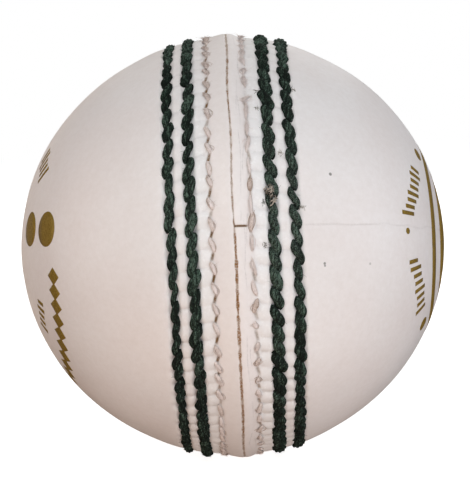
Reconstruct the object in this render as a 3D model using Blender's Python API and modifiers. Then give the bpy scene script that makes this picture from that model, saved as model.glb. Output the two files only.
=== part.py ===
"""Four-piece, hand-stitched cricket ball, built as its separate physical pieces.

Frame: metres, +Z up, origin at the ball's centre.  The seam lies in the YZ plane, so the
axis through both poles is X, and -Y is the front of the ball.
"""
from math import cos, radians, sin, sqrt, tau

import bmesh
import bpy

MM = 0.001

# ---- driving dimensions -------------------------------------------------------------------
LIP_RADIUS = 36.4 * MM            # crest of the raised lips along the main joint
SHOULDER_RADIUS = 35.5 * MM       # leather beside the outermost stitch row
POLE_SWELL = 0.75 * MM            # extra radius at the poles: the ball is slightly prolate
LINING_RADIUS = 31.8 * MM         # inner face of the leather
FIT_GAP = 0.3 * MM                # gap between neighbouring pieces

LIP_EDGE_DROP = 0.25 * MM         # rounding of the lip's edge at the main joint
LIP_EDGE_WIDTH = 0.6 * MM
LIP_CREST_END = 1.7 * MM          # where the lip starts to fall towards the first row
RIB_RADIUS = 35.75 * MM           # leather ribs between the stitch rows
GROOVE_FLOOR_SHARE = 0.6          # a groove's floor width as a share of its mouth width

JOINT_TURN = radians(10.0)        # right half's quarter joint, above the front
STITCH_RUN = 0.72                 # share of a stitch's pitch taken by its slanted run

YARN_TAIL_RADIUS = 1.2 * MM       # hole that the end of the yarn comes out of
CORE_LAYERS = (                   # name, inner radius, outer radius, split
    ("yarn_winding_inner", 12.3 * MM, 17.0 * MM, None),
    ("cork_wrap_inner", 17.3 * MM, 19.3 * MM, ("upper", "lower")),
    ("yarn_winding_middle", 19.6 * MM, 24.2 * MM, None),
    ("cork_wrap_outer", 24.5 * MM, 26.5 * MM, ("front", "rear")),
    ("yarn_winding_outer", 26.8 * MM, 31.3 * MM, None),
)
NUCLEUS_RADIUS = 12.0 * MM

# name, stitches, distance from the seam plane, thread radius, height of its centre, slant
SEAM_ROWS = (
    ("inner", 73, 3.0 * MM, 0.40 * MM, 35.55 * MM, 0.12 * MM),
    ("middle", 81, 6.0 * MM, 0.70 * MM, 35.70 * MM, 0.20 * MM),
    ("outer", 81, 9.2 * MM, 0.70 * MM, 35.70 * MM, 0.20 * MM),
)

HIDDEN_THREAD_RADIUS = 0.35 * MM
HIDDEN_THREAD_ZIGZAG = 0.25 * MM
HIDDEN_THREAD_ARC = 32.3 * MM     # radius of the line it follows inside a quarter joint
HIDDEN_THREAD_END = radians(9.0)  # how far from the main joint it stops
HIDDEN_STITCHES = 22
SKIVE_RADIUS = 1.05 * MM          # channel that the hidden thread lies in

LEATHER_STEPS = 48
DOME_SEGMENTS = 9
LINING_SEGMENTS = 8
CORE_STEPS = 24
CORE_RINGS = 8
CUTTER_SIZE = 90.0 * MM
MERGE_DISTANCE = 0.001 * MM

# ---- colours (linear base colour, roughness) ----------------------------------------------
MATERIALS = {
    "white_leather": ((0.78, 0.73, 0.70), 0.42),
    "green_thread": ((0.022, 0.050, 0.036), 0.85),
    "pale_thread": ((0.60, 0.53, 0.45), 0.80),
    "worsted_yarn": ((0.62, 0.50, 0.36), 0.95),
    "cork_sheet": ((0.40, 0.22, 0.10), 0.90),
    "cork_rubber": ((0.24, 0.12, 0.06), 0.80),
}


# ---- scene and material helpers -----------------------------------------------------------
def clear_scene():
    for obj in list(bpy.data.objects):
        bpy.data.objects.remove(obj)


def new_collection(name):
    collection = bpy.data.collections.new(name)
    bpy.context.scene.collection.children.link(collection)
    return collection


def give_material(obj, kind):
    """Each piece has its own Principled material of one of the kinds above."""
    colour, roughness = MATERIALS[kind]
    material = bpy.data.materials.new(f"{obj.name}_{kind}")
    material.use_nodes = True
    material.diffuse_color = (*colour, 1.0)
    shader = material.node_tree.nodes["Principled BSDF"]
    shader.inputs["Base Color"].default_value = (*colour, 1.0)
    shader.inputs["Roughness"].default_value = roughness
    shader.inputs["Metallic"].default_value = 0.0
    obj.data.materials.append(material)


def place(obj, collection, parent, side):
    """Turn a shape made about Z so that its +Z end points to +X (side 1) or -X (side -1)."""
    for holder in list(obj.users_collection):
        holder.objects.unlink(obj)
    collection.objects.link(obj)
    obj.parent = parent
    obj.rotation_euler = (0.0, side * tau / 4, 0.0)


# ---- turned shapes ------------------------------------------------------------------------
def on_ball(radius, axial):
    """Profile point at a distance from the ball's centre and one from the seam plane."""
    return (sqrt(radius * radius - axial * axial), axial)


def arc_points(radius, start, end, segments):
    """Profile points of an arc about the centre, by the angle from the pole."""
    points = []
    for i in range(segments + 1):
        angle = start + (end - start) * i / segments
        points.append((radius * sin(angle), radius * cos(angle)))
    return points


def turned(name, profile, steps):
    """Revolve a profile of (distance from axis, height) points, outer side first, about Z."""
    mesh = bpy.data.meshes.new(name)
    shape = bmesh.new()
    corners = [shape.verts.new((across, 0.0, height)) for across, height in profile]
    for first, second in zip(corners, corners[1:]):
        shape.edges.new((first, second))
    shape.to_mesh(mesh)
    shape.free()
    obj = bpy.data.objects.new(name, mesh)
    screw = obj.modifiers.new("revolve", "SCREW")
    screw.axis = "Z"
    screw.steps = steps
    screw.render_steps = steps
    screw.use_merge_vertices = True
    screw.merge_threshold = MERGE_DISTANCE
    screw.use_smooth_shade = True
    return obj


def cut_away(obj, cutter):
    """Take a cutter's volume out of a piece."""
    boolean = obj.modifiers.new(f"cut_{cutter.name}", "BOOLEAN")
    boolean.operation = "DIFFERENCE"
    boolean.solver = "EXACT"
    boolean.object = cutter


def hide_cutter(cutter):
    cutter.hide_render = True
    cutter.display_type = "WIRE"


def half_space_cutter(name, direction, collection, parent):
    """A block that removes everything beyond a plane, with half the joint's gap."""
    axis, sign = direction
    location = [0.0, 0.0, 0.0]
    location[axis] = -sign * (CUTTER_SIZE / 2 - FIT_GAP / 2)
    mesh = bpy.data.meshes.new(name)
    shape = bmesh.new()
    bmesh.ops.create_cube(shape, size=CUTTER_SIZE)
    shape.to_mesh(mesh)
    shape.free()
    cutter = bpy.data.objects.new(name, mesh)
    collection.objects.link(cutter)
    cutter.parent = parent
    cutter.location = location
    hide_cutter(cutter)
    return cutter


# ---- leather cover ------------------------------------------------------------------------
def dome_radius(angle_from_pole):
    return SHOULDER_RADIUS + POLE_SWELL * cos(angle_from_pole) ** 2


def groove_half_width(thread_radius, slant):
    return thread_radius + slant + FIT_GAP


def leather_profile():
    """Section of one half of the cover: dome, rows' grooves, lip, joint face and lining."""
    profile = []
    _, _, outer_row, outer_thread, _, outer_slant = SEAM_ROWS[-1]
    shoulder = outer_row + groove_half_width(outer_thread, outer_slant)
    shoulder_angle = tau / 4 - shoulder / SHOULDER_RADIUS
    for i in range(DOME_SEGMENTS):
        angle = shoulder_angle * i / DOME_SEGMENTS
        radius = dome_radius(angle)
        profile.append((radius * sin(angle), radius * cos(angle)))
    mouth_radius = SHOULDER_RADIUS
    for _, _, row, thread_radius, height, slant in reversed(SEAM_ROWS):
        mouth = groove_half_width(thread_radius, slant)
        floor = mouth * GROOVE_FLOOR_SHARE
        floor_radius = height - thread_radius - FIT_GAP
        profile.append(on_ball(mouth_radius, row + mouth))
        profile.append(on_ball(floor_radius, row + floor))
        profile.append(on_ball(floor_radius, row - floor))
        profile.append(on_ball(RIB_RADIUS, row - mouth))
        mouth_radius = RIB_RADIUS
    profile.append(on_ball(LIP_RADIUS, LIP_CREST_END))
    profile.append(on_ball(LIP_RADIUS, LIP_EDGE_WIDTH))
    profile.append(on_ball(LIP_RADIUS - LIP_EDGE_DROP, FIT_GAP / 2))
    joint_angle = tau / 4 - FIT_GAP / 2 / LINING_RADIUS
    profile += arc_points(LINING_RADIUS, joint_angle, 0.0, LINING_SEGMENTS)
    profile[0] = (0.0, profile[0][1])
    profile[-1] = (0.0, LINING_RADIUS)
    return profile


def skive_channel(name, collection, parent):
    """Ring cutter that opens the channel of the hidden thread inside a quarter joint."""
    bpy.ops.mesh.primitive_torus_add(
        major_radius=HIDDEN_THREAD_ARC,
        minor_radius=SKIVE_RADIUS,
        major_segments=LEATHER_STEPS,
        minor_segments=8,
    )
    cutter = bpy.context.object
    cutter.name = name
    for holder in list(cutter.users_collection):
        holder.objects.unlink(cutter)
    collection.objects.link(cutter)
    cutter.parent = parent
    hide_cutter(cutter)
    return cutter


def leather_quarter(name, side, sign, parts, cutters, half_frame, channel):
    quarter = turned(name, leather_profile(), LEATHER_STEPS)
    place(quarter, parts, half_frame, side)
    away = half_space_cutter(f"{name}_other_half", (2, sign), cutters, half_frame)
    cut_away(quarter, away)
    cut_away(quarter, channel)
    give_material(quarter, "white_leather")


# ---- threads ------------------------------------------------------------------------------
def thread_curve(name, points, radius, closed, sides_level):
    curve = bpy.data.curves.new(name, "CURVE")
    curve.dimensions = "3D"
    curve.bevel_depth = radius
    curve.bevel_resolution = sides_level
    curve.use_fill_caps = not closed
    spline = curve.splines.new("POLY")
    spline.points.add(len(points) - 1)
    for target, point in zip(spline.points, points):
        target.co = (*point, 1.0)
    spline.use_cyclic_u = closed
    spline.use_smooth = True
    return bpy.data.objects.new(name, curve)


def row_points(stitches, distance, height, slant, side):
    """Slanted stitches round the seam: each runs outwards across its row, then steps back."""
    pitch = tau / stitches
    points = []
    for stitch in range(stitches):
        for turn, offset in ((0.0, -slant), (STITCH_RUN, slant)):
            angle = (stitch + turn) * pitch
            across, axial = on_ball(height, distance + offset)
            points.append((side * axial, across * cos(angle), across * sin(angle)))
    return points


def seam_row(name, side, row, parts, ball):
    row_name, stitches, distance, radius, height, slant = row
    points = row_points(stitches, distance, height, slant, side)
    thread = thread_curve(name, points, radius, closed=True, sides_level=0)
    parts.objects.link(thread)
    thread.parent = ball
    kind = "pale_thread" if row_name == "inner" else "green_thread"
    give_material(thread, kind)


def hidden_thread(name, side, parts, half_frame):
    """Zigzag stitches inside a quarter joint, from one end of the joint over the pole."""
    span = tau / 2 - 2 * HIDDEN_THREAD_END
    corners = 2 * HIDDEN_STITCHES
    points = []
    for i in range(corners + 1):
        angle = HIDDEN_THREAD_END + span * i / corners
        across = HIDDEN_THREAD_ZIGZAG * (1 if i % 2 else -1)
        points.append((side * HIDDEN_THREAD_ARC * sin(angle), HIDDEN_THREAD_ARC * cos(angle), across))
    thread = thread_curve(name, points, HIDDEN_THREAD_RADIUS, closed=False, sides_level=1)
    parts.objects.link(thread)
    thread.parent = half_frame
    give_material(thread, "pale_thread")


# ---- core ---------------------------------------------------------------------------------
def shell_profile(inner, outer):
    """Section of a wound layer, open at the pole where the yarn's end comes out."""
    profile = []
    for radius in (outer, inner):
        start = YARN_TAIL_RADIUS / radius
        ring = tau / 2 / CORE_RINGS
        angles = [start] + [ring * i for i in range(1, CORE_RINGS + 1)]
        points = [(radius * sin(angle), radius * cos(angle)) for angle in angles]
        points[-1] = (0.0, -radius)
        profile.append(points)
    outer_points, inner_points = profile
    return inner_points[::-1] + outer_points


def nucleus(parts, ball):
    bpy.ops.mesh.primitive_uv_sphere_add(
        segments=CORE_STEPS, ring_count=CORE_RINGS, radius=NUCLEUS_RADIUS
    )
    obj = bpy.context.object
    obj.name = "cork_rubber_nucleus"
    obj.data.shade_smooth()
    place(obj, parts, ball, 1)
    give_material(obj, "cork_rubber")


def core_layer(layer, parts, cutters, ball):
    """A yarn winding is one shell; a cork wrap is two halves that meet at a plane."""
    name, inner, outer, split = layer
    profile = shell_profile(inner, outer)
    if split is None:
        winding = turned(name, profile, CORE_STEPS)
        place(winding, parts, ball, 1)
        give_material(winding, "worsted_yarn")
        return
    directions = {"upper": (2, 1), "lower": (2, -1), "front": (1, -1), "rear": (1, 1)}
    for half in split:
        wrap = turned(f"{name}_{half}", profile, CORE_STEPS)
        place(wrap, parts, ball, 1)
        cut_away(wrap, half_space_cutter(f"{name}_{half}_split", directions[half], cutters, ball))
        give_material(wrap, "cork_sheet")


# ---- assembly -----------------------------------------------------------------------------
def frame_empty(name, collection, parent, turn):
    empty = bpy.data.objects.new(name, None)
    empty.empty_display_size = 10 * MM
    empty.rotation_euler = (turn, 0.0, 0.0)
    empty.parent = parent
    collection.objects.link(empty)
    return empty


def build():
    clear_scene()
    parts = new_collection("cricket_ball")
    cutters = new_collection("cutters")
    ball = frame_empty("ball_centre", parts, None, 0.0)
    halves = (
        ("right", 1, -JOINT_TURN, (("upper", 1), ("lower", -1))),
        ("left", -1, -JOINT_TURN - tau / 4, (("front", 1), ("rear", -1))),
    )

    nucleus(parts, ball)
    for layer in CORE_LAYERS:
        core_layer(layer, parts, cutters, ball)
    for half, side, turn, quarters in halves:
        half_frame = frame_empty(f"{half}_half", parts, ball, turn)
        channel = skive_channel(f"{half}_skive_channel", cutters, half_frame)
        for quarter, sign in quarters:
            name = f"leather_quarter_{half}_{quarter}"
            leather_quarter(name, side, sign, parts, cutters, half_frame, channel)
        hidden_thread(f"quarter_joint_thread_{half}", side, parts, half_frame)
        for row in SEAM_ROWS:
            seam_row(f"seam_row_{half}_{row[0]}", side, row, parts, ball)


build()
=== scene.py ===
"""Looks of the hand-stitched cricket ball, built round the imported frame.

Frame: metres, +Z up, origin at the ball's centre, X through both poles, -Y is the front.
Surface places are given by half (side +1 at +X, -1 at -X), by distance from the seam plane,
and by phi, the angle round the seam that is 0 at the front and a quarter turn at the top.
"""
from math import atan2, cos, pi, radians, sin, sqrt, tau

import bpy
import numpy as np
from mathutils import Matrix, Vector


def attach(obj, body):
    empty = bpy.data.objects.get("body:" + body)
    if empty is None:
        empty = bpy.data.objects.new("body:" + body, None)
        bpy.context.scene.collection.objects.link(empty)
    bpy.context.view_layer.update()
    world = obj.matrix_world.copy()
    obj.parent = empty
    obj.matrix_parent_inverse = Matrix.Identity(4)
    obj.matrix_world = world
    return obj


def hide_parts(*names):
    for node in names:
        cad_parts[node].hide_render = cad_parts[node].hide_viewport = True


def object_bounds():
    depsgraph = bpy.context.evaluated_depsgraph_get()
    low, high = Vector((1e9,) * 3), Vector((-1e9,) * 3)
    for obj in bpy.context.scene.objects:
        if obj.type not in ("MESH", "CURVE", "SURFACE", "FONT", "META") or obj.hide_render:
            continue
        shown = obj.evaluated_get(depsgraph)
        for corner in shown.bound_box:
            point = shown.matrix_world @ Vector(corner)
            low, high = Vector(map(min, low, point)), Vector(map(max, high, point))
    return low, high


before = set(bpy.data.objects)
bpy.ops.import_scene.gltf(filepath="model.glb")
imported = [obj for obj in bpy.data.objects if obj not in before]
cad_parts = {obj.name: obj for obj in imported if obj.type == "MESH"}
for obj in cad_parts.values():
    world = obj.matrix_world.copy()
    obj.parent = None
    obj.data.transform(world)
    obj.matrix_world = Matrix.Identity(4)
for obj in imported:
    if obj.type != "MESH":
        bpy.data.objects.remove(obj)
cad_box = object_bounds()

MM = 0.001

# ---- sizes, in millimetres unless said otherwise ----
LIP_RADIUS = 36.4
SHOULDER_RADIUS = 35.5
POLE_SWELL = 0.75
RIB_RADIUS = 35.78
BAND_RADIUS = 35.8  # radius that turns a distance from the seam into a latitude
LINING_RADIUS = 31.8
ROWS = {
    # distance of each stitched row from the seam plane
    (1, "inner"): 3.0, (1, "middle"): 6.1, (1, "outer"): 9.33,
    (-1, "inner"): 3.0, (-1, "middle"): 5.95, (-1, "outer"): 9.07,
}
STITCHES = {"inner": 73, "middle": 81, "outer": 81}
PITCH = {row: tau / count for row, count in STITCHES.items()}
JOINT_PHI = {1: radians(9.6), -1: radians(99.6)}  # where each half's quarter joint starts
HALF = {1: "right", -1: "left"}


# ---- smooth functions and repeatable randomness ----
def smooth(low, high, value):
    """A smooth step from 0 at low to 1 at high."""
    t = np.clip((value - low) / (high - low), 0.0, 1.0)
    return t * t * (3.0 - 2.0 * t)


def smooth_turn(low, high, angle):
    """The same step over an angle in radians, between two angles in degrees."""
    return smooth(radians(low), radians(high), angle)


def unit(vectors):
    """Vectors scaled to length 1."""
    return vectors / np.linalg.norm(vectors, axis=-1, keepdims=True)


def waves(seed, count, shortest, longest):
    """A smooth random field in space, about -1 to 1: a sum of plane waves."""
    rng = np.random.default_rng(seed)
    directions = unit(rng.normal(size=(count, 3)))
    lengths = shortest * (longest / shortest) ** rng.random(count)
    numbers = directions * (tau / lengths)[:, None]
    phases = rng.random(count) * tau

    def field(points):
        flat = points.reshape(-1, 3)
        total = np.zeros(len(flat))
        for number, phase in zip(numbers, phases):
            total += np.sin(flat @ number + phase)
        return (total / sqrt(count)).reshape(points.shape[:-1])

    return field


def round_noise(seed, count, highest):
    """A smooth random function of phi that closes on itself, about -1 to 1."""
    rng = np.random.default_rng(seed)
    orders = rng.integers(1, highest + 1, count)
    phases = rng.random(count) * tau

    def field(phi):
        total = sum(np.sin(order * phi + phase) for order, phase in zip(orders, phases))
        return total / sqrt(count)

    return field


def on_ball(side, latitude, phi, radius):
    """Points in millimetres at a latitude from the seam plane and an angle round the seam."""
    across = radius * np.cos(latitude)
    return np.stack(
        [side * radius * np.sin(latitude), -across * np.cos(phi), across * np.sin(phi)], axis=-1
    )


def latitude_of(axial):
    """The latitude of a distance from the seam plane."""
    return np.arcsin(np.clip(axial / BAND_RADIUS, -1.0, 1.0))


def signed(phi):
    """The same angle round the seam, brought between minus and plus half a turn."""
    return np.arctan2(np.sin(phi), np.cos(phi))


def angle_round(points):
    """The angle round the seam of points."""
    return np.arctan2(points[..., 2], -points[..., 1])


# ---- meshes ----
def add_object(name, data):
    """A new object in the scene."""
    obj = bpy.data.objects.new(name, data)
    bpy.context.scene.collection.objects.link(obj)
    return obj


def new_object(name, points, faces, material, attributes=None):
    """A smooth-shaded mesh object from points in millimetres."""
    mesh = bpy.data.meshes.new(name)
    mesh.from_pydata((np.asarray(points) * MM).tolist(), [], faces)
    for key, values in (attributes or {}).items():
        values = np.asarray(values, np.float32)
        kind, field = ("FLOAT", "value") if values.ndim == 1 else ("FLOAT_VECTOR", "vector")
        mesh.attributes.new(key, kind, "POINT").data.foreach_set(field, values.ravel())
    mesh.shade_smooth()
    mesh.update()
    mesh.materials.append(material)
    return add_object(name, mesh)


def grid_faces(start, rows, columns):
    """Quads of a grid of points numbered row by row from start."""
    index = start + np.arange(rows * columns).reshape(rows, columns)
    quads = np.stack([index[:-1, :-1], index[:-1, 1:], index[1:, 1:], index[1:, :-1]], axis=-1)
    return quads.reshape(-1, 4).tolist()


def flipped(faces):
    """The same faces, seen from their other side."""
    return [face[::-1] for face in faces]


def zip_faces(first, second, first_at, second_at):
    """Triangles between two lines of vertices, matched by how far along each of them lies."""
    faces = []
    i = j = 0
    while i < len(first) - 1 or j < len(second) - 1:
        second_done = j == len(second) - 1
        if i < len(first) - 1 and (second_done or first_at[i + 1] <= second_at[j + 1]):
            faces.append([first[i], first[i + 1], second[j]])
            i += 1
        else:
            faces.append([first[i], second[j + 1], second[j]])
            j += 1
    return faces


def line_frame(lines):
    """Directions across each line: along the ball's surface, and out of it."""
    tangent = unit(np.gradient(lines, axis=1))
    across = unit(np.cross(tangent, lines))
    return across, np.cross(across, tangent)


def tube_points(lines, radii, sides, flat):
    """Rings round many lines at once: lines (count, points, 3), radii (count, points)."""
    across, normal = line_frame(lines)
    normal *= flat
    turn = np.arange(sides) * tau / sides
    cosine, sine = np.cos(turn)[:, None], np.sin(turn)[:, None]
    ring = across[:, :, None] * cosine + normal[:, :, None] * sine
    return lines[:, :, None] + ring * radii[:, :, None, None]


FIBRE_TWIST = 1.6  # radians a millimetre that fibres turn about their thread
THREAD_APART = 900.0  # keeps the threads' fibre patterns apart


def fibre_places(lines, radii, sides, rng):
    """Coordinates along and round each thread, which its fibres follow."""
    steps = np.linalg.norm(np.diff(lines, axis=1), axis=2)
    along = np.concatenate([np.zeros((len(lines), 1)), np.cumsum(steps, axis=1)], axis=1)
    turn = np.arange(sides) * tau / sides + FIBRE_TWIST * along[..., None]
    along = (along + rng.random((len(lines), 1)) * THREAD_APART)[..., None] * np.ones(sides)
    reach = radii[..., None]
    return np.stack([along, reach * np.cos(turn), reach * np.sin(turn)], axis=-1)


def tube_faces(count, length, sides):
    """Faces of closed tubes whose points come from tube_points."""
    index = np.arange(count * length * sides).reshape(count, length, sides)
    ahead = np.roll(index, -1, axis=2)
    quads = np.stack([index[:, :-1], ahead[:, :-1], ahead[:, 1:], index[:, 1:]], axis=-1)
    return quads.reshape(-1, 4).tolist() + index[:, 0, ::-1].tolist() + index[:, -1].tolist()


class Bundle:
    """Closed tubes in one mesh, with the attributes that the thread materials read."""

    def __init__(self, rng):
        self.rng = rng
        self.count = 0
        self.points, self.faces = [], []
        self.attributes = {"fibre": [], "tone": [], "pale": [], "dust": [], "deep": []}

    def add(self, lines, radii, sides, tone=0.0, pale=0.0, dust=0.0, flat=1.0):
        points = tube_points(lines, radii, sides, flat)
        faces = tube_faces(*points.shape[:3])
        self.faces += [[self.count + v for v in face] for face in faces]
        self.count += points[..., 0].size
        self.points.append(points.reshape(-1, 3))
        self.attributes["fibre"].append(fibre_places(lines, radii, sides, self.rng).reshape(-1, 3))
        for key, value in (("tone", tone), ("pale", pale), ("dust", dust)):
            value = np.asarray(value, float)
            value = value.reshape(value.shape + (1,) * (3 - value.ndim))
            self.attributes[key].append((np.ones(points.shape[:3]) * value).ravel())
        # deep: painted shade, 1 where the thread lies low beside the leather
        self.attributes["deep"].append(smooth(36.1, 35.3, np.linalg.norm(points, axis=-1)).ravel())

    def add_hairs(self, lines, thickness, **shade):
        """Thin fibres that taper to their loose ends."""
        taper = np.linspace(1.0, 0.3, lines.shape[1])[None, :]
        self.add(lines, thickness * taper * np.ones((len(lines), 1)), 3, **shade)

    def make(self, name, material):
        attributes = {key: np.concatenate(values) for key, values in self.attributes.items()}
        return new_object(name, np.concatenate(self.points), self.faces, material, attributes)


# ---- stitch places ----
STITCH_SPACING = {
    # row: how its stitches crowd to the bottom, and their shift and unevenness in pitches
    "inner": (0.0, 0.0, 0.11),
    "middle": (-0.14, 0.0, 0.05),
    "outer": (-0.14, 0.35, 0.05),
}


def stitch_places(side, row):
    """Where each stitch of a row is centred round the seam; hand work spaces them unevenly."""
    rng = np.random.default_rng(11 if side > 0 else 12)
    even = np.arange(STITCHES[row]) * PITCH[row]
    spread, shift, uneven = STITCH_SPACING[row]
    stray = shift + rng.normal(0.0, uneven, STITCHES[row])
    return even + spread * np.cos(even) + stray * PITCH[row]


def stitch_phase(places):
    """A function of phi that counts stitches: whole numbers at the stitches' centres."""
    count = np.arange(-len(places), 2 * len(places))
    all_places = np.concatenate([places - tau, places, places + tau])

    def phase(phi):
        return np.interp(np.mod(phi, tau), all_places, count)

    return phase


PLACES = {place: stitch_places(*place) for place in ROWS}
PHASE = {place: stitch_phase(PLACES[place]) for place in ROWS}
JOINT_WANDER = round_noise(5, 9, 14)
JOINT_RAGGED = round_noise(6, 24, 300)


def joint_shift(phi):
    """Sideways place of the main joint, in millimetres: a little right of centre, wandering."""
    return 0.36 + 0.11 * JOINT_WANDER(phi) + 0.022 * JOINT_RAGGED(phi)


ROW_WANDER = {place: round_noise(70 + i, 7, 11) for i, place in enumerate(ROWS)}
ROW_BEND = {
    # a slow bend and a local stray of the right half's rows, in millimetres
    (1, "middle"): (0.11, 0.30),
    (1, "outer"): (0.24, 0.45),
}


def row_axial(side, row, phi):
    """Distance of a row from the seam plane; hand work lets it stray a little."""
    stray = 0.03 if row == "inner" else 0.06
    bend, flare = ROW_BEND.get((side, row), (0.0, 0.0))
    bend = bend * np.cos(2.0 * (phi + radians(15.0)))
    flare = flare * np.sin(phi) ** 8
    return ROWS[(side, row)] + bend + flare + stray * ROW_WANDER[(side, row)](phi)


# ---- leather cover ----
DENTS = waves(21, 14, 9.0, 30.0)
RIPPLES = waves(22, 22, 2.0, 5.0)
PUFF_FIELD = waves(23, 16, 3.0, 8.0)
HOLE_STRENGTH = {
    side: np.random.default_rng(31 + side).random(STITCHES["inner"]) for side in (1, -1)
}
WRINKLE_LINE = round_noise(24, 8, 30)
WRINKLE_PATCH = round_noise(25, 8, 40)
JOINT_STAIN = round_noise(26, 18, 120)
JOINT_WAVE = waves(27, 8, 4.0, 9.0)

BAND_SWELL = 0.26  # how far the stitched band stands over the shoulder
RIB_DEPTH = 0.25  # dip between two puffed ribs
NEEDLE_LINE_DEPTH = 0.10
HOLE_DEPTH = 0.18
CREASE_DEPTH = 0.18  # quarter joint where it is open, beside the main joint
BURIED_DEPTH = 0.012  # quarter joint under the lacquer
WRINKLES = ((1.75, 0.0), (2.2, 1.7), (1.35, 3.1))  # distance from the seam plane, shift


def rib_relief(side, axial, phi, rows, uneven):
    """Where the ribs are, how far the leather dips between them, and painted shade in its valleys.
    """
    inner, middle, outer = rows
    slanted = PHASE[(side, "middle")](phi) + 0.06 * (axial - middle)
    share = np.where(
        axial < middle, (axial - inner) / (middle - inner), (axial - middle) / (outer - middle)
    )
    pinched = 0.45 + 0.9 * (2.0 * np.clip(share, 0.0, 1.0) - 1.0) ** 2
    puff = np.abs(np.sin(pi * (slanted + 0.35))) ** pinched
    ribs = smooth(inner, inner + 0.7, axial) * smooth(10.9, 9.3, axial)
    below = smooth_turn(-5.0, -45.0, signed(phi))
    depth = RIB_DEPTH * (1.0 + 0.35 * uneven) * (1.0 + 0.3 * below)
    # painted shade: the creases between puffs are greyed, more where the puffs are deeper
    valley_shade = ribs * smooth(0.80, 0.05, puff) * smooth(-0.6, 0.4, uneven)
    return ribs, ribs * depth * (1.0 - puff), valley_shade


def needle_holes(side, axial, phi, inner):
    """1 in the needle holes between the pale row's stitches, 0 away from them."""
    phase = PHASE[(side, "inner")](phi)
    nearest = np.floor(phase)
    along = (phase - nearest - 0.5) * PITCH["inner"] * BAND_RADIUS
    strength = HOLE_STRENGTH[side][nearest.astype(int) % STITCHES["inner"]]
    turn = signed(phi)
    if side < 0:
        gate = 0.35 + 0.65 * smooth(0.0, 0.3, strength)
        gate *= 1.0 - 0.6 * smooth_turn(-22.0, -40.0, turn)
    else:
        gate = 0.6 * smooth(0.55, 0.8, strength)
        gate = np.maximum(gate, 0.8 * smooth_turn(-18.0, -32.0, turn))
    from_line = axial - inner + 0.25 * along
    length = 0.48 + 0.35 * strength
    return np.exp(-((along / length) ** 4) - ((from_line / 0.23) ** 4)) * gate


def lip_wrinkles(side, axial, phi):
    """1 on the fine lines that run along the lips at the front, 0 away from them."""
    wrinkle = 0.0
    for place, shift in WRINKLES:
        line = (axial - place - 0.24 * WRINKLE_LINE(phi + shift)) / 0.08
        patch = smooth(0.0, 0.8, WRINKLE_PATCH(phi + shift))
        wrinkle += np.exp(-(line ** 2)) * patch
    return np.clip(wrinkle, 0.0, 1.0) * smooth(-0.2, 0.6, side * np.cos(phi))


def leather_surface(side, latitude, phi):
    """Spherical radius of the leather in millimetres, and masks for its material."""
    axial = BAND_RADIUS * np.sin(latitude)
    there = on_ball(side, latitude, phi, BAND_RADIUS)
    turn = signed(phi)
    inner, middle, outer = (row_axial(side, row, phi) for row in ("inner", "middle", "outer"))
    uneven = PUFF_FIELD(there)
    ribs, dip, valley_shade = rib_relief(side, axial, phi, (inner, middle, outer), uneven)
    hole = needle_holes(side, axial, phi, inner)

    radius = SHOULDER_RADIUS + POLE_SWELL * np.sin(latitude) ** 2
    radius += BAND_SWELL * smooth(17.0, 9.8, axial)
    radius += (LIP_RADIUS - RIB_RADIUS) * smooth(3.5, 0.2, axial) - dip
    for row, reach, deep in ((middle, 0.85, 0.45), (outer, 0.80, 0.42)):
        radius -= deep * np.exp(-(((axial - row) / reach) ** 4))
    radius -= NEEDLE_LINE_DEPTH * np.exp(-(((axial - inner) / 0.45) ** 2))
    radius -= HOLE_DEPTH * hole
    radius += 0.035 * DENTS(there) * smooth(9.5, 12.0, axial)
    radius += (0.012 + 0.022 * ribs) * RIPPLES(there) * smooth(12.5, 10.0, axial)

    wave = 0.22 * JOINT_WAVE(there) * smooth(8.0, 14.0, axial)
    from_joint = np.abs(BAND_RADIUS * np.cos(latitude) * np.sin(phi - JOINT_PHI[side]) + wave)
    open_end = smooth(2.5, 1.9, axial)
    buried = smooth(10.0, 11.5, axial)
    crease = np.exp(-((from_joint / 0.16) ** 4))
    radius -= crease * (BURIED_DEPTH * buried + CREASE_DEPTH * open_end)

    cool = 0.4 + 0.6 * smooth(middle + 0.5, middle - 0.5, axial)
    cool *= smooth(2.9, 3.5, axial) * smooth(10.4, 9.0, axial)
    cool *= (1.0 - 0.5 * smooth_turn(30.0, 65.0, turn))
    rubbed = 0.45 * np.exp(-(((axial - inner) / 0.40) ** 2)) * smooth_turn(20.0, 45.0, turn)
    wrinkle = lip_wrinkles(side, axial, phi)
    masks = {
        "brown": 0.20 * np.exp(-((from_joint / 0.28) ** 4)) * open_end,
        "slot": np.maximum(hole, crease * open_end),
        "cool": cool,
        "lip": smooth(3.2, 2.4, axial),
        # faint greys fine wrinkles, the buried quarter joint and a rubbed line by the needle
        # holes, and paints shade into the valleys between ribs
        "faint": np.maximum.reduce([0.30 * crease * buried, 0.9 * wrinkle, rubbed, 0.42 * valley_shade]),
    }
    return radius, masks


def rubbed_edge(axial, phi):
    """How brown the rubbed edge of the main joint is; it varies round the seam."""
    turn = signed(phi)
    low = smooth_turn(11.0, 3.0, turn) * smooth_turn(-75.0, -35.0, turn)
    high = smooth_turn(34.0, 52.0, turn)
    stain = np.clip(0.68 + 0.26 * low + 0.12 * high + 0.25 * JOINT_STAIN(phi), 0.2, 1.0)
    reach = 0.20 + 0.08 * low + 0.03 * high + 0.05 * JOINT_STAIN(phi + 1.0)
    return smooth(reach, reach - 0.14, axial) * stain


JOINT_WALL = (
    # rows that round the edge down into the main joint: distance from the seam plane, drop
    (0.004, 1.6), (0.004, 0.10), (0.04, 0.07), (0.09, 0.045),
    (0.15, 0.025), (0.22, 0.01), (0.28, 0.002),
)
BUTT_GAP = 0.004  # half the gap between two quarters at the surface
SKIVE_GAP = 1.3  # half the gap between them at the lining
CHANNEL_RADIUS = 33.6  # where the skived channel starts
DOME_ROWS = 52
LINING_ROWS = 14
LINING_COLUMNS = 41


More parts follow.
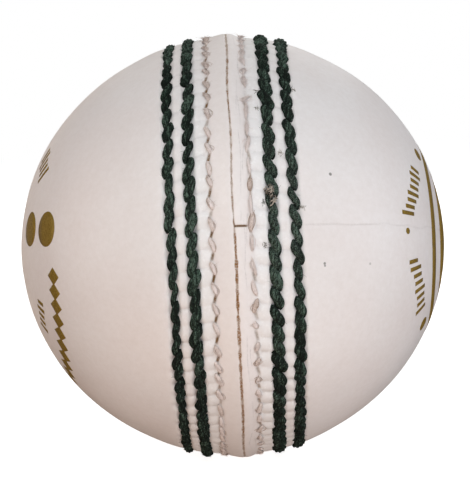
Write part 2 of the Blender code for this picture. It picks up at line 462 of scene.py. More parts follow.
def band_axials():
    """Distances of the fine rows from the seam plane, out to the shoulder."""
    fine = np.arange(0.34, 2.3, 0.12)
    hole_zone = np.arange(2.3, 3.7, 0.11)
    ribs = np.arange(3.7, 11.3, 0.2)
    return np.concatenate([fine, hole_zone, ribs])


def quarter_columns():
    """Angles across a quarter from one joint to the other, closer together at the joints."""
    step = 0.21 / BAND_RADIUS
    edge = np.array([0.0, 0.05, 0.10, 0.15, 0.21, 0.28, 0.38]) / BAND_RADIUS
    count = int(round((pi - 2 * edge[-1]) / step))
    middle = np.linspace(edge[-1], pi - edge[-1], count + 1)
    return np.concatenate([edge[:-1], middle, (pi - edge[:-1])[::-1]])


def quarter_spread(start_phi, latitudes, turns, gap, radius):
    """A grid of latitudes and angles over a quarter, set in from its joints by a gap."""
    lat, turn = np.meshgrid(latitudes, turns, indexing="ij")
    inset = np.arcsin(np.clip(gap / (radius * np.cos(lat)), 0.0, 1.0))
    return lat, start_phi + inset + turn * (pi - 2 * inset) / pi


def quarter_outer(side, start_phi, latitudes, columns):
    """Points of the outer face, its masks, and the latitudes and angles that they are at."""
    drops = np.zeros(len(latitudes))
    drops[: len(JOINT_WALL)] = [drop for _, drop in JOINT_WALL]
    lat, phi = quarter_spread(start_phi, latitudes, columns, BUTT_GAP, BAND_RADIUS)
    radius, masks = leather_surface(side, lat, phi)
    outer = on_ball(side, lat, phi, radius - drops[:, None])
    axial = BAND_RADIUS * np.sin(lat)
    outer[..., 0] += joint_shift(phi) * smooth(2.6, 0.5, axial)
    masks["brown"] = np.maximum(masks["brown"], rubbed_edge(axial, phi))
    return outer, masks, lat, phi


def leather_quarter(name, side, start_phi, material):
    """One closed quarter: fine outer face, edges with a skived channel, plain lining."""
    columns = quarter_columns()
    axials = np.concatenate([[axial for axial, _ in JOINT_WALL], band_axials()])
    latitudes = latitude_of(axials)
    dome = np.linspace(latitudes[-1], pi / 2, DOME_ROWS + 2)[1:-1]
    latitudes = np.concatenate([latitudes, dome])
    outer, masks, lat, phi = quarter_outer(side, start_phi, latitudes, columns)
    rows, across, _ = outer.shape

    inner_lat = np.linspace(latitude_of(0.2), pi / 2, LINING_ROWS + 1)[:-1]
    inner_turn = np.linspace(0.0, pi, LINING_COLUMNS)
    lat_in, phi_in = quarter_spread(start_phi, inner_lat, inner_turn, SKIVE_GAP, LINING_RADIUS)
    lining = on_ball(side, lat_in, phi_in, LINING_RADIUS)

    pole_radius, _ = leather_surface(side, np.array([pi / 2]), np.array([start_phi]))
    inward = np.array([0.0, sin(start_phi), cos(start_phi)])
    pole = np.array([side * pole_radius[0], 0.0, 0.0]) + BUTT_GAP * inward
    lining_pole = np.array([side * LINING_RADIUS, 0.0, 0.0]) + SKIVE_GAP * inward
    mid = on_ball(side, lat[:, [0, -1]], phi[:, [0, -1]], CHANNEL_RADIUS)

    points, ids, start = [], [], 0
    for block in (outer, pole, lining, lining_pole, mid):
        points.append(block.reshape(-1, 3))
        ids.append(start + np.arange(len(points[-1])).reshape(block.shape[:-1]))
        start += len(points[-1])
    points = np.concatenate(points)
    faces = grid_faces(0, rows, across) + cap_faces(ids[0][-1], ids[1])
    inside = grid_faces(ids[2][0, 0], *lat_in.shape) + cap_faces(ids[2][-1], ids[3])
    faces += flipped(inside)
    faces += quarter_edges(ids, columns, inner_turn, latitudes, inner_lat)
    faces = [[int(v) for v in face] for face in faces]
    if side < 0:
        faces = flipped(faces)
    extra = np.zeros(len(points) - rows * across)
    attributes = {key: np.concatenate([mask.ravel(), extra]) for key, mask in masks.items()}
    attributes["brown"][rows * across + 1:] = 1.0
    obj = new_object(name, points, faces, material, attributes)
    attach(obj, "root")
    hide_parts(name.replace("cover_", "leather_quarter_"))


def cap_faces(line, tip):
    """Triangles from a line of vertices to one tip."""
    return [[line[i], line[i + 1], tip] for i in range(len(line) - 1)]


def quarter_edges(ids, columns, inner_turn, latitudes, inner_lat):
    """Faces of a quarter's rim: down the joint faces, into the skived channel, to the lining."""
    outer_id, pole_id, lining_id, lining_pole_id, mid_id = ids
    faces = flipped(zip_faces(outer_id[0], lining_id[0], columns, inner_turn))
    faces.append([lining_id[0, 0], mid_id[0, 0], outer_id[0, 0]])
    faces.append([mid_id[0, 1], lining_id[0, -1], outer_id[0, -1]])
    for end in (0, -1):
        outer_line = [*outer_id[:, end], pole_id]
        mid_line = list(mid_id[:, end])
        lining_line = [*lining_id[:, end], lining_pole_id]
        pieces = [
            [outer_line[i], outer_line[i + 1], mid_line[i + 1], mid_line[i]]
            for i in range(len(mid_line) - 1)
        ]
        pieces += zip_faces(mid_line, lining_line, latitudes, [*inner_lat, pi / 2])
        pieces.append([outer_line[-2], outer_line[-1], mid_line[-1]])
        faces += flipped(pieces) if end == -1 else pieces
    faces.append([pole_id, mid_id[-1, 1], lining_pole_id, mid_id[-1, 0]])
    return faces


# ---- materials ----
class Nodes:
    """Adds and links the shader nodes of one material."""

    def __init__(self, name):
        self.material = bpy.data.materials.new(name)
        self.material.use_nodes = True
        self.tree = self.material.node_tree
        self.shader = self.tree.nodes["Principled BSDF"]
        self.place = self.add("ShaderNodeTexCoord").outputs["Object"]

    def fill(self, node, sockets):
        """Link each named input, or set it to a colour, a list or a number."""
        for key, value in sockets.items():
            if isinstance(value, bpy.types.NodeSocket):
                self.tree.links.new(value, node.inputs[key])
            else:
                value = (*value, 1.0) if isinstance(value, tuple) else value
                node.inputs[key].default_value = value

    def add(self, kind, sockets=None, **settings):
        node = self.tree.nodes.new(kind)
        for key, value in settings.items():
            setattr(node, key, value)
        self.fill(node, sockets or {})
        return node

    def surface(self, sockets):
        """Finish the material by what its surface is like."""
        self.fill(self.shader, sockets)
        return self.material

    def noise(self, size_mm, detail=3.0, roughness=0.55, seed=0.0, place=None):
        """Noise with features of about that size."""
        place = place or self.place
        if seed:
            moved = {"Vector": place, "Location": [seed, seed * 0.7, -seed]}
            place = self.add("ShaderNodeMapping", moved).outputs["Vector"]
        sockets = {"Vector": place, "Scale": 1.0 / (size_mm * MM), "Detail": detail}
        return self.add("ShaderNodeTexNoise", {**sockets, "Roughness": roughness}).outputs["Fac"]

    def speck(self, axial, phi, size_mm):
        """1 inside a small round mark on the right half of the cover, 0 away from it."""
        latitude = latitude_of(axial)
        radius, _ = leather_surface(1, latitude, phi)
        centre = (on_ball(1, latitude, phi, radius) * MM).tolist()
        away = self.add("ShaderNodeVectorMath", {0: self.place, 1: centre}, operation="DISTANCE")
        return self.smooth_range(away, 0.65 * size_mm * MM, 0.35 * size_mm * MM)

    def smooth_range(self, away, low, high, first=0.0, last=1.0):
        """A smooth step from first to last, as a distance goes from low to high."""
        ends = {"From Min": low, "From Max": high, "To Min": first, "To Max": last}
        sockets = {"Value": away.outputs["Value"], **ends}
        node = self.add("ShaderNodeMapRange", sockets, interpolation_type="SMOOTHSTEP")
        return node.outputs["Result"]

    def attribute(self, name):
        return self.add("ShaderNodeAttribute", attribute_name=name).outputs["Fac"]

    def ramp(self, source, *stops):
        """A colour ramp: stops are (position, colour), where a colour may be one grey number."""
        node = self.add("ShaderNodeValToRGB", {"Fac": source})
        ramp = node.color_ramp
        while len(ramp.elements) < len(stops):
            ramp.elements.new(0.5)
        for element, (position, colour) in zip(ramp.elements, stops):
            element.position = position
            element.color = (*(colour if isinstance(colour, tuple) else (colour,) * 3), 1.0)
        return node.outputs["Color"]

    def mix(self, factor, first, second, blend="MIX"):
        sockets = {"Factor": factor, "A": first, "B": second}
        node = self.add("ShaderNodeMix", sockets, data_type="RGBA", blend_type=blend)
        return node.outputs["Result"]

    def math(self, operation, first, second):
        return self.add("ShaderNodeMath", {0: first, 1: second}, operation=operation).outputs[0]

    def times(self, first, second):
        return self.math("MULTIPLY", first, second)

    def bump(self, height, strength, distance_mm, below=None):
        sockets = {"Height": height, "Strength": strength, "Distance": distance_mm * MM}
        if below is not None:
            sockets["Normal"] = below
        return self.add("ShaderNodeBump", sockets).outputs["Normal"]


WARM_WHITE = (0.84, 0.80, 0.785)
PINK_WHITE = (0.82, 0.765, 0.745)
COOL_WHITE = (0.87, 0.845, 0.835)
LIP_WHITE = (0.845, 0.785, 0.76)
RAW_EDGE = (0.26, 0.122, 0.034)
SLOT_BROWN = (0.150, 0.066, 0.004)
BRIGHT_FLECK = (0.93, 0.91, 0.90)
FAINT_GREY = (0.45, 0.40, 0.38)
SPECK_GREY = (0.16, 0.15, 0.13)
SPECKS = (
    # distance from the seam plane, degrees round the seam, size, strength
    (15.16, 23.2, 0.50, 0.85),
    (13.53, -0.5, 0.40, 0.80),
    (13.56, -1.1, 0.34, 0.70),
    (20.65, -2.1, 0.40, 0.40),
)


def leather_material():
    """White lacquered hide: warm and cool areas, flecks, faint lines, painted shade between the
    ribs, raw edges, specks.
    """
    n = Nodes("white_lacquered_leather")
    blotch = n.ramp(n.noise(14.0, detail=2.0), (0.35, 0.0), (0.65, 1.0))
    colour = n.mix(blotch, WARM_WHITE, PINK_WHITE)
    colour = n.mix(n.attribute("cool"), colour, COOL_WHITE)
    colour = n.mix(n.attribute("lip"), colour, LIP_WHITE)
    mottle = n.noise(0.9, detail=4.0, roughness=0.65)
    shade = n.ramp(mottle, (0.3, (0.95, 0.94, 0.93)), (0.7, 1.0))
    colour = n.mix(1.0, colour, shade, "MULTIPLY")
    fleck = n.ramp(n.noise(0.55, detail=2.0, seed=0.67), (0.56, 0.0), (0.66, 1.0))
    fleck = n.times(n.times(n.attribute("cool"), fleck), 0.6)
    colour = n.mix(fleck, colour, BRIGHT_FLECK)
    # grey marks: real faint lines, and painted shade in the valleys between the ribs
    grey_patchiness = n.ramp(n.noise(0.35, detail=2.0, seed=0.17), (0.35, 0.2), (0.6, 1.0))
    grey_line = n.times(n.times(n.attribute("faint"), grey_patchiness), 0.6)
    colour = n.mix(grey_line, colour, FAINT_GREY)
    patch = n.ramp(n.noise(0.22, seed=0.31), (0.36, 0.45), (0.52, 1.0))
    colour = n.mix(n.times(n.attribute("brown"), patch), colour, RAW_EDGE)
    torn = n.ramp(n.noise(0.30, seed=0.37), (0.36, 0.70), (0.50, 1.0))
    colour = n.mix(n.times(n.attribute("slot"), torn), colour, SLOT_BROWN)
    for axial, turn, size, strength in SPECKS:
        speck = n.speck(axial, radians(turn), size)
        colour = n.mix(n.times(speck, strength), colour, SPECK_GREY)
    gloss = n.ramp(n.noise(3.0, seed=0.13), (0.3, 0.36), (0.7, 0.50))
    grain = n.bump(n.noise(0.22, roughness=0.6, seed=0.21), 0.25, 0.02)
    grain = n.bump(n.noise(1.6, detail=2.0, seed=0.41), 0.25, 0.05, grain)
    sockets = {"Base Color": colour, "Roughness": gloss, "Normal": grain}
    return n.surface({**sockets, "Specular IOR Level": 0.4})


def thread_material(name, dark, mid, light, bleached, dusty, fibre_mm):
    """Twisted thread: fibres run along it, stitches differ in tone, worn places are pale, and low
    parts carry painted shade.
    """
    n = Nodes(name)
    place = n.add("ShaderNodeAttribute", attribute_name="fibre").outputs["Vector"]
    scale = [0.20 / fibre_mm, 1.0 / fibre_mm, 1.0 / fibre_mm]
    mapping = n.add("ShaderNodeMapping", {"Vector": place, "Scale": scale})
    strands = n.noise(1.0 / MM, roughness=0.6, place=mapping.outputs["Vector"])
    specks = n.noise(0.24, detail=2.0, roughness=0.6, seed=0.53)
    value = n.math("ADD", n.times(strands, 0.62), n.times(specks, 0.38))
    value = n.math("ADD", value, n.times(n.attribute("tone"), 0.04))
    # painted shade: the thread is darker where it lies low, in the crevices between stitches
    value = n.math("SUBTRACT", value, n.times(n.attribute("deep"), 0.07))
    colour = n.ramp(value, (0.42, dark), (0.5, mid), (0.58, light))
    flecks = n.ramp(n.noise(0.15, detail=2.0, seed=0.73), (0.54, 0.0), (0.62, 1.0))
    colour = n.mix(n.times(n.attribute("dust"), flecks), colour, dusty)
    colour = n.mix(n.attribute("pale"), colour, bleached)
    sockets = {"Base Color": colour, "Normal": n.bump(strands, 0.9, 0.10)}
    return n.surface({**sockets, "Roughness": 0.8, "Specular IOR Level": 0.2})


def plain_material(name, dark, light, size_mm, roughness, bump_mm, metallic=0.0, specular=0.5):
    """Two mottled colours with a fine bump."""
    n = Nodes(name)
    colour = n.ramp(n.noise(size_mm, detail=4.0, roughness=0.7), (0.35, dark), (0.65, light))
    grain = n.bump(n.noise(size_mm * 0.5, seed=0.3), 0.5, bump_mm)
    sockets = {"Base Color": colour, "Normal": grain, "Roughness": roughness}
    return n.surface({**sockets, "Metallic": metallic, "Specular IOR Level": specular})


# ---- stitched rows ----
GREEN_ROWS = {
    # (side, row): strand radius, sideways sway, lift, height of the row's centre,
    # degrees round it where it is pulled tighter, share of its width lost there
    (1, "middle"): (0.88, 0.42, 0.30, 35.32, 15.0, 0.16),
    (1, "outer"): (0.82, 0.38, 0.28, 35.32, 9.0, 0.22),
    (-1, "middle"): (0.78, 0.35, 0.28, 35.44, 25.0, 0.20),
    (-1, "outer"): (0.71, 0.31, 0.24, 35.37, -12.0, 0.24),
}
PLIES = 6
DIVE = radians(118.0)  # how far round its arc a stitch runs, down beside the next ones


def green_stitches(side, row, rng):
    """Centre lines of a green row's stitches: each dives in beside its neighbours."""
    strand, sway, lift, height, thin_at, thin = GREEN_ROWS[(side, row)]
    places = PLACES[(side, row)]
    count = len(places)
    u = np.linspace(-1.0, 1.0, 15)[None, :]
    psi = u * DIVE
    length = 0.68 + rng.normal(0.0, 0.04, (count, 1))
    widen = 1.0 + rng.normal(0.0, 0.25, (count, 1))
    drift = rng.normal(0.0, 0.07, (count, 1))
    rise = rng.normal(0.0, 0.05, (count, 1))
    phi = places[:, None] - u * length * PITCH[row]
    axial = row_axial(side, row, phi) + drift + sway * widen * np.sin(psi)
    radius = height + rise + lift * np.cos(psi)
    lines = on_ball(side, latitude_of(axial), phi, radius)
    turn = signed(places)
    pulled = 1.0 - thin * np.exp(-(((turn - radians(thin_at)) / radians(15.0)) ** 2))
    if side > 0:
        pulled += 0.15 * np.sin(turn) ** 8
    size = strand * (pulled * (1.0 + rng.normal(0.0, 0.07, count)))[:, None]
    return lines, size * (1.0 - 0.40 * np.abs(u) ** 3)


def twisted_plies(lines, sizes, turns, rng):
    """Split each stitch into plies that twist about its centre line, and a core between them."""
    across, normal = line_frame(lines)
    count, length, _ = lines.shape
    u = np.linspace(0.0, 1.0, length)[None, :]
    start = rng.random(count)[:, None] * tau
    yield lines, sizes * 0.55
    for ply in range(PLIES):
        turn = start + tau * (ply / PLIES + turns * u)
        offset = across * np.cos(turn)[..., None] + normal * np.sin(turn)[..., None]
        yield lines + offset * (sizes * 0.62)[..., None], sizes * 0.36


def hairs(lines, sizes, per_line, rng, reach):
    """Loose fibre ends that stand off a row of stitches."""
    count, length, _ = lines.shape
    pick = rng.integers(2, length - 2, (count, per_line))
    base = np.take_along_axis(lines, pick[..., None], axis=1).reshape(-1, 3)
    size = np.take_along_axis(sizes, pick, axis=1).reshape(-1)
    out = unit(base)
    spread = rng.normal(size=base.shape)
    spread = unit(spread - out * np.sum(spread * out, axis=1, keepdims=True))
    lean = unit(spread + out * rng.uniform(0.1, 0.9, len(base))[:, None])
    curl = np.cross(lean, out) * rng.normal(0.0, 0.6, len(base))[:, None]
    t = np.linspace(0.0, 1.0, 4)[None, :, None]
    far = reach * rng.gamma(2.0, 0.5, len(base))[:, None, None]
    start = base + lean * (size * 0.75)[:, None]
    return start[:, None] + lean[:, None] * far * t + curl[:, None] * far * t * t


FRAYED_ROW = (1, "middle")
FRAYED_SPOTS = (
    # angle round the seam, distance from the seam plane, share of the broken fibres
    (radians(17.8), 5.70, 0.65),
    (radians(15.6), 6.25, 0.35),
)
TUFT_RADIUS = 36.22


def frayed(side, row, lines):
    """How far the thread is rubbed through at each point, at two spots on one row."""
    worn = np.zeros(lines.shape[:2])
    if (side, row) == FRAYED_ROW:
        for spot, axial, _ in FRAYED_SPOTS:
            along = (angle_round(lines) - spot) * BAND_RADIUS
            across = lines[..., 0] - axial
            worn = np.maximum(worn, np.exp(-((along / 0.85) ** 4) - ((across / 0.6) ** 4)))
    return worn


def frayed_tufts(rng, total):
    """Broken fibres that lie in tangled arcs over the worn spots."""
    tufts = []
    for spot, middle, share in FRAYED_SPOTS:
        count = int(total * share)
        phi = spot + rng.normal(0.0, 0.30, (count, 1)) / BAND_RADIUS
        axial = middle + rng.normal(0.0, 0.22, (count, 1))
        heading = radians(50.0) + rng.normal(0.0, radians(38.0), (count, 1))
        t = np.linspace(-0.5, 0.5, 6)[None, :] * rng.uniform(0.4, 1.0, (count, 1))
        bow = rng.normal(0.0, 0.9, (count, 1)) * t * t
        axial = axial + t * np.cos(heading) - bow * np.sin(heading)
        phi = phi + (t * np.sin(heading) + bow * np.cos(heading)) / BAND_RADIUS
        height = TUFT_RADIUS + rng.uniform(0.0, 0.30, (count, 1)) - 1.2 * t * t
        tufts.append(on_ball(1, latitude_of(axial), phi, height))
    return np.concatenate(tufts)


STRAY_TUFTS = (
    # row of the right half, degrees round the seam, distance from the seam plane, paleness
    ("middle", 15.2, 4.95, 0.25),
    ("middle", 5.0, 4.75, 0.50),
    ("middle", 27.7, 7.75, 0.75),
    ("middle", 46.5, 4.75, 0.45),
    ("middle", 40.6, 4.60, 0.50),
    ("outer", 13.9, 10.45, 0.70),
    ("outer", 48.6, 10.40, 0.60),
)


def stray_tuft(rng, spot, middle):
    """A few short fibres that cling to the leather beside a row of the right half."""
    count = 9
    heading = rng.uniform(0.0, pi, (count, 1))
    t = np.linspace(-0.5, 0.5, 5)[None, :] * rng.uniform(0.3, 0.9, (count, 1))
    axial = middle + rng.normal(0.0, 0.2, (count, 1)) + t * np.cos(heading)
    phi = spot + (rng.normal(0.0, 0.2, (count, 1)) + t * np.sin(heading)) / BAND_RADIUS
    surface, _ = leather_surface(1, latitude_of(axial), phi)
    return on_ball(1, latitude_of(axial), phi, surface + 0.04)


SHEEN_AND_DUST_AT = radians(12.0)  # where the green rows get their painted front highlight and their most dust


def green_row(side, row, material):
    """One dark row: twisted stitches, their loose fibres, and worn and fluffy spots."""
    half = HALF[side]
    rng = np.random.default_rng({"middle": 40, "outer": 50}[row] + side)
    bundle = Bundle(rng)
    lines, sizes = green_stitches(side, row, rng)
    count = len(lines)
    own_tone = rng.normal(0.0, 0.5, (count, 1))
    for strand_lines, radii in twisted_plies(lines, sizes, -0.6 * side, rng):
        phi = angle_round(strand_lines)
        # painted highlight: tone rises round the front, where the front lamps' sheen falls; the
        # right rows' dust gathers there too
        front_sheen_and_dust = np.exp(-(((phi - SHEEN_AND_DUST_AT) / radians(28.0)) ** 2))
        tone = own_tone + rng.normal(0.0, 0.5, (count, 1)) + 1.2 * front_sheen_and_dust - 1.25
        # lighter toward the top, and dark at the frayed spots
        tone += 1.4 * smooth_turn(52.0, 78.0, phi) - 4.0 * frayed(side, row, strand_lines)
        dust = (0.42 if side > 0 else 0.06) * front_sheen_and_dust ** 3
        bundle.add(strand_lines, radii, 6, tone=tone, dust=dust)
    bundle.add_hairs(hairs(lines, sizes, 22, rng, 0.22), 0.028)
    if (side, row) == FRAYED_ROW:
        tufts = frayed_tufts(rng, 40)
        radii = rng.uniform(0.05, 0.11, (len(tufts), 1)) * np.ones(tufts.shape[:2])
        bundle.add(tufts, radii, 5, tone=-2.0, pale=rng.uniform(0.0, 1.0, len(tufts)))
    for tuft_row, spot, axial, paleness in STRAY_TUFTS:
        if side > 0 and tuft_row == row:
            fibres = stray_tuft(rng, radians(spot), axial)
            bundle.add_hairs(fibres, 0.045, tone=1.0, pale=paleness)
    obj = bundle.make(f"stitches_{half}_{row}", material)
    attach(obj, "root")
    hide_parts(f"seam_row_{half}_{row}")


STAINED_LOOPS = (20.9, 9.6, -10.0, -24.4, -30.0)  # degrees round the seam
LONG_LOOP = 9.6
PALE_RADIUS = 35.93
RIBBON = (-0.10, 0.38, 0.84, 0.30)  # bow towards the pole, radius, paleness, flatness
FINE_STRANDS = (
    # bow, paleness; thin darker strands along each loop: thread, and painted shade at the loop's
    # edges
    (-0.56, 0.35), (-0.38, 0.45), (-0.20, 0.40), (-0.02, 0.50), (0.14, 0.45), (0.30, 0.40),
)
FINE_RADIUS = 0.05


def pale_traits(side, turn, low, rng):
    """Each pale stitch's half length and lean, and how firm its colour is."""
    if side < 0:
        return 0.68 + 0.24 * low, 0.36 * (1.0 - 0.4 * low), np.ones(turn.shape)
    short = smooth_turn(4.0, -6.0, turn)
    own = 0.55 + 0.40 * rng.random(turn.shape) - 0.35 * short
    lean = rng.normal(0.06, 0.16, turn.shape)
    firm = 0.05 + 0.45 * rng.random(turn.shape) ** 1.5 + 0.55 * short
    for place in STAINED_LOOPS:
        firm[np.argmin(np.abs(turn - radians(place)))] = 3.2
    own[np.argmin(np.abs(turn - radians(LONG_LOOP)))] = 1.1
    return own, lean, firm


def pale_row(side, material):
    """Thin pale loops between the needle holes of the innermost row."""
    half = HALF[side]
    rng = np.random.default_rng(60 + side)
    bundle = Bundle(rng)
    middle = PLACES[(side, "inner")][:, None]
    count = len(middle)
    turn = signed(middle)
    low = smooth_turn(-25.0, -50.0, turn)
    high = smooth_turn(25.0, 50.0, turn)
    fuzzy = high[:, 0] > 0.3
    u = np.linspace(-1.0, 1.0, 13)[None, :]
    arc = 1.0 - u * u
    swell = 1.0 + rng.normal(0.0, 0.25, (count, 1))
    skew = rng.normal(0.0, 0.10, (count, 1))
    own, lean, firm = pale_traits(side, turn, low, rng)
    loose_end, loose_pale, fuzz_pale = (0.16, 0.6, 0.75) if side > 0 else (0.07, 0.2, 0.35)
    strands = [RIBBON] + [(bow, FINE_RADIUS, paleness, 1.0) for bow, paleness in FINE_STRANDS]
    for bow, radius, paleness, flat in strands:
        ribbon = radius > FINE_RADIUS
        jitter = 1.0 + rng.normal(0.0, 0.35, (count, 1))
        end = own + rng.normal(0.0, loose_end, (count, 1))
        phi = middle + u * end * PITCH["inner"] / 2
        axial = row_axial(side, "inner", phi) + (bow * swell * jitter + 0.12 * low) * arc
        axial += (lean + skew) * u
        if side > 0 and not ribbon:
            axial += rng.normal(0.0, 0.10, (count, 1))
        height = PALE_RADIUS + 0.07 * arc - 0.20 * np.abs(u) ** 6
        bleach = 1.0 - firm[:, 0] * (1.0 - paleness) + rng.normal(0.0, 0.15, count)
        if ribbon:
            height -= 0.05
            radius = radius * np.where(firm < 0.6, 0.55, 1.0)
            bleach -= 0.25 * high[:, 0]
        else:
            # painted shade: the fine strands darken toward the bottom
            bleach -= 0.2 * low[:, 0]
        lines = on_ball(side, latitude_of(axial), phi, height)
        radii = radius * (0.35 + 0.65 * np.sqrt(arc)) * np.ones(phi.shape)
        tone = rng.normal(0.0, 1.0, count)
        bundle.add(lines, radii, 6, tone=tone, pale=np.clip(bleach, 0.0, 1.0), flat=flat)
        bundle.add_hairs(hairs(lines, radii, 2, rng, 0.30), 0.03, pale=loose_pale)
        fuzz = hairs(lines[fuzzy], radii[fuzzy], 7, rng, 0.20)
        bundle.add_hairs(fuzz, 0.04, tone=-0.5, pale=fuzz_pale)
    obj = bundle.make(f"stitches_{half}_inner", material)
    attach(obj, "root")
    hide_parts(f"seam_row_{half}_inner")


# ---- gold foil ornaments ----
FOIL_RADIUS = 36.0
FOIL_LIFT = 0.035  # how far the foil stands above the leather
FOIL_ROOT = -0.06  # where its lower face lies, inside the leather


def foil_sheet(side, colat, around):
    """A thin closed plate over a grid of angles from the pole and round it (0 is the front)."""
    latitude = pi / 2 - colat
    leather, _ = leather_surface(side, latitude, around)
    layers = [on_ball(side, latitude, around, leather + lift) for lift in (FOIL_LIFT, FOIL_ROOT)]
    points = np.concatenate([layer.reshape(-1, 3) for layer in layers])
    rows, columns = colat.shape
    below = rows * columns
    faces = flipped(grid_faces(0, rows, columns))
    faces += grid_faces(below, rows, columns)
    index = np.arange(below).reshape(rows, columns)
    rim = np.concatenate([index[0], index[1:, -1], index[-1, -2::-1], index[-2:0:-1, 0]]).tolist()
    faces += [[a, b, b + below, a + below] for a, b in zip(rim, rim[1:] + rim[:1])]
    if side < 0:
        faces = flipped(faces)
    return points, faces


def foil_ring(side, inner, outer, start, end, steps):
    """A band round the pole, between two angles from it."""
    across = np.linspace(inner, outer, 4)
    along = np.linspace(start, end, steps)
    return foil_sheet(side, *np.meshgrid(across, along, indexing="ij"))


def foil_plate(side, colat, phi, long, wide, round_end):
    """A small ellipse or lozenge centred on the surface; long runs round the pole."""
    at = np.sin(np.linspace(-0.93, 0.93, 21) * pi / 2)
    share, at = np.meshgrid(np.linspace(-1.0, 1.0, 5), at, indexing="ij")
    half = np.sqrt(1.0 - at ** 2) if round_end else 1.0 - np.abs(at)
    across = colat + share * half * wide / 2 / FOIL_RADIUS
    return foil_sheet(side, across, phi + at * long / 2 / (FOIL_RADIUS * sin(colat)))


def joined(shapes):
    """Put several (points, faces) shapes into one."""
    points, faces, start = [], [], 0
    for shape_points, shape_faces in shapes:
        points.append(shape_points)
        faces += [[start + v for v in face] for face in shape_faces]
        start += len(shape_points)
    return np.concatenate(points), faces


def lozenge_chain(side, turn):
    """Lozenges one behind another along a line that runs round the pole."""
    count = 10
    for i in range(count):
        colat = radians(38.0 + i / (count - 1))
        yield foil_plate(side, colat, turn - radians(4.0 + 6.4 * i), 2.9, 3.2, False)


def straight_bars(side, reach, middle, first, count, step, tall):
    """A straight row of short bars, at a distance from the pole's axis and an angle round it."""
    for i in range(count):
        along = first + i * step
        away = sqrt(reach ** 2 + along ** 2)
        around = middle + atan2(along, reach)
        colat = np.arcsin(away / FOIL_RADIUS)
        half = tall / FOIL_RADIUS / 2 * (1.0 if i % 3 else 1.3)
        wide = 0.32 / away
        yield foil_ring(side, colat - half, colat + half, around - wide, around + wide, 3)


BARS = {
    # distance from the pole's axis, angle round it in degrees, first place, count, step, height
    1: ((20.3, 43.0, -10.9, 8, 1.25, 2.5), (20.3, -29.0, -0.2, 8, 1.35, 2.5)),
    -1: ((19.4, 54.0, -2.6, 5, 1.3, 3.0), (17.4, -29.0, -2.6, 5, 1.25, 2.0)),
}
ELLIPSES = {
    # degrees from the pole, degrees round it, length, width
    1: ((40.5, 7.7, 1.0, 1.0), (30.7, 52.5, 2.2, 2.2), (31.7, -43.5, 2.4, 2.4)),
    -1: ((35.4, 16.1, 5.6, 5.4), (25.0, 21.0, 5.6, 5.4)),
}
RINGS = {
    # inner and outer edge in degrees from the pole, steps round it
    1: ((24.4, 27.2, 151), (9.0, 19.5, 121)),
    -1: ((6.5, 9.0, 61),),
}


def ornament(side, material):
    """Plain foil devices round a pole, the same at the front and at the rear."""
    shapes = []
    for turn in (0.0, pi):
        for reach, around, *bars in BARS[side]:
            shapes += straight_bars(side, reach, turn + radians(around), *bars)
        for colat, around, *size in ELLIPSES[side]:
            shapes.append(foil_plate(side, radians(colat), turn + radians(around), *size, True))
        if side < 0:
            shapes += lozenge_chain(side, turn)
    for inner, outer, steps in RINGS[side]:
        shapes.append(foil_ring(side, radians(inner), radians(outer), 0.0, tau, steps))
    points, faces = joined(shapes)
    obj = new_object(f"foil_{HALF[side]}", points, faces, material)
    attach(obj, "root")


# ---- camera, lights, floor ----
CAMERA_ELEVATION = radians(5.3)
CAMERA_DISTANCE = 218.4
CAMERA_SENSOR = 36.0
CAMERA_RANGE = (0.01, 20.0)  # metres
CAMERA_LENS = 90.3
CAMERA_ROLL = radians(-2.65)
CAMERA_AIM = (0.37, -0.73)  # millimetres to the right of the ball's centre, and above it


def add_camera():
    """The front camera: a little above the ball, close, and slightly rolled."""
    data = bpy.data.cameras.new("camera")
    data.lens = CAMERA_LENS
    data.sensor_width = CAMERA_SENSOR
    data.clip_start, data.clip_end = CAMERA_RANGE
    camera = add_object("camera", data)
    back = Vector((0.0, -cos(CAMERA_ELEVATION), sin(CAMERA_ELEVATION)))
    turn = (-back).to_track_quat("-Z", "Y").to_matrix() @ Matrix.Rotation(CAMERA_ROLL, 3, "Z")
    aim = turn @ Vector((*CAMERA_AIM, 0.0)) * MM
    camera.matrix_world = Matrix.Translation(back * CAMERA_DISTANCE * MM + aim) @ turn.to_4x4()
    bpy.context.scene.camera = camera


LIGHTS = (
    # name, azimuth and elevation in degrees, distance m, size m, power W, colour
    ("key", 30, 35, 0.9, 0.6, 2.86, (0.96, 0.98, 1.0)),
    ("front_left", -30, 35, 0.9, 0.6, 3.13, (0.99, 1.0, 1.0)),
    ("front", 0, 5, 1.0, 0.6, 1.84, (0.87, 0.94, 1.0)),
    ("left", -80, 10, 1.0, 0.8, 1.89, (1.0, 0.80, 0.73)),
    ("right", 80, 10, 1.0, 0.8, 2.60, (0.91, 0.93, 1.0)),
    ("low_left", -45, -45, 0.9, 0.8, 2.06, (1.0, 0.65, 0.42)),
    ("low_right", 45, -45, 0.9, 0.8, 3.66, (1.0, 0.93, 0.91)),
    ("back", 180, 40, 1.0, 1.0, 1.91, (1.0, 0.95, 0.89)),
    ("rim_left", -150, 3, 1.0, 0.8, 1.35, (1.0, 0.88, 0.77)),
    ("rim_right", 155, 25, 1.0, 0.8, 1.1, (1.0, 0.98, 0.99)),
)


def add_lights():
    """Soft round lights that face the ball's centre."""
    for name, azimuth, elevation, distance, size, power, colour in LIGHTS:
        data = bpy.data.lights.new(name, "AREA")
        data.shape = "DISK"
        data.size = size
        data.energy = power
        data.color = colour
        light = add_object(name, data)
        light.visible_camera = False
        a, e = radians(azimuth), radians(elevation)
        way = Vector((sin(a) * cos(e), -cos(a) * cos(e), sin(e)))
        light.location = way * distance
        light.rotation_euler = way.to_track_quat("Z", "Y").to_euler()


WHITE = (1.0, 1.0, 1.0)
FLOOR_REACH = 4.0  # metres
FLOOR_DROP = 0.0003  # metres below the ball


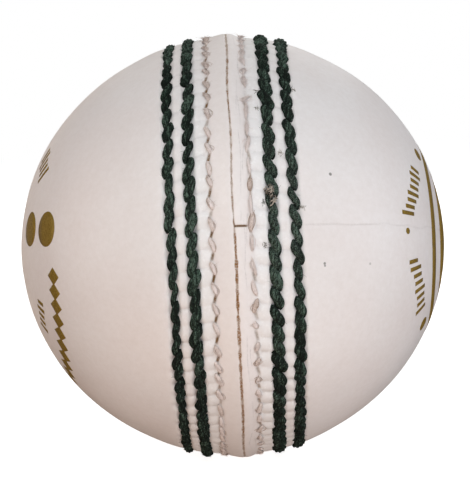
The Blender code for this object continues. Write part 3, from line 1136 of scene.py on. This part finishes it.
def add_surroundings():
    """A white world that only the camera sees, and a white floor under the ball."""
    world = bpy.data.worlds.new("white")
    bpy.context.scene.world = world
    world.use_nodes = True
    world.node_tree.nodes["Background"].inputs["Color"].default_value = (*WHITE, 1.0)
    world.cycles_visibility.diffuse = False
    world.cycles_visibility.glossy = False
    n = Nodes("white_floor")
    grey = n.ramp(n.noise(60.0), (0.3, 0.80), (0.7, 0.82))
    away = n.add("ShaderNodeVectorMath", {0: n.place}, operation="LENGTH")
    glow = n.smooth_range(away, 0.05, 0.30, 0.85, 1.0)
    sockets = {"Base Color": grey, "Roughness": 0.7}
    n.surface({**sockets, "Emission Color": WHITE, "Emission Strength": glow})
    mesh = bpy.data.meshes.new("floor")
    low, far = cad_box[0].z - FLOOR_DROP, FLOOR_REACH
    corners = [(-far, -far, low), (far, -far, low), (far, far, low), (-far, far, low)]
    mesh.from_pydata(corners, [], [(0, 1, 2, 3)])
    mesh.materials.append(n.material)
    floor = add_object("floor", mesh)
    floor.visible_diffuse = False
    floor.visible_glossy = False
    floor.visible_shadow = False


# ---- build ----
leather = leather_material()
green = thread_material(
    "green_waxed_thread", (0.002, 0.005, 0.003), (0.0115, 0.0240, 0.0155), (0.092, 0.142, 0.108),
    bleached=(0.50, 0.43, 0.36), dusty=(0.27, 0.32, 0.28), fibre_mm=0.13,
)
pale = thread_material(
    "pale_waxed_thread", (0.38, 0.27, 0.20), (0.54, 0.42, 0.35), (0.70, 0.59, 0.53),
    bleached=(0.825, 0.735, 0.705), dusty=(0.825, 0.735, 0.705), fibre_mm=0.10,
)
foil = plain_material(
    "gold_foil", (0.145, 0.086, 0.007), (0.290, 0.190, 0.038),
    size_mm=0.25, roughness=0.6, bump_mm=0.01, metallic=0.1, specular=0.2,
)
yarn = plain_material("worsted_yarn", (0.50, 0.38, 0.25), (0.70, 0.60, 0.45), 0.6, 0.95, 0.1)
cork = plain_material("cork_sheet", (0.28, 0.14, 0.06), (0.50, 0.30, 0.15), 0.9, 0.9, 0.1)
composite = plain_material("cork_rubber", (0.12, 0.06, 0.03), (0.34, 0.19, 0.10), 1.2, 0.8, 0.1)
HIDDEN = {"yarn": yarn, "cork_wrap": cork, "cork_rubber": composite, "quarter_joint": pale}

for quarter, side, start in (
    ("right_upper", 1, JOINT_PHI[1]),
    ("right_lower", 1, JOINT_PHI[1] + pi),
    ("left_front", -1, JOINT_PHI[-1] - pi),
    ("left_rear", -1, JOINT_PHI[-1]),
):
    leather_quarter(f"cover_{quarter}", side, start, leather)
for side in (1, -1):
    pale_row(side, pale)
    for row in ("middle", "outer"):
        green_row(side, row, green)
    ornament(side, foil)

for node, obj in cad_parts.items():
    for start, material in HIDDEN.items():
        if node.startswith(start) and not obj.hide_render:
            obj.data.materials.clear()
            obj.data.materials.append(material)

add_camera()
add_lights()
add_surroundings()
bpy.context.scene.view_settings.view_transform = "Standard"
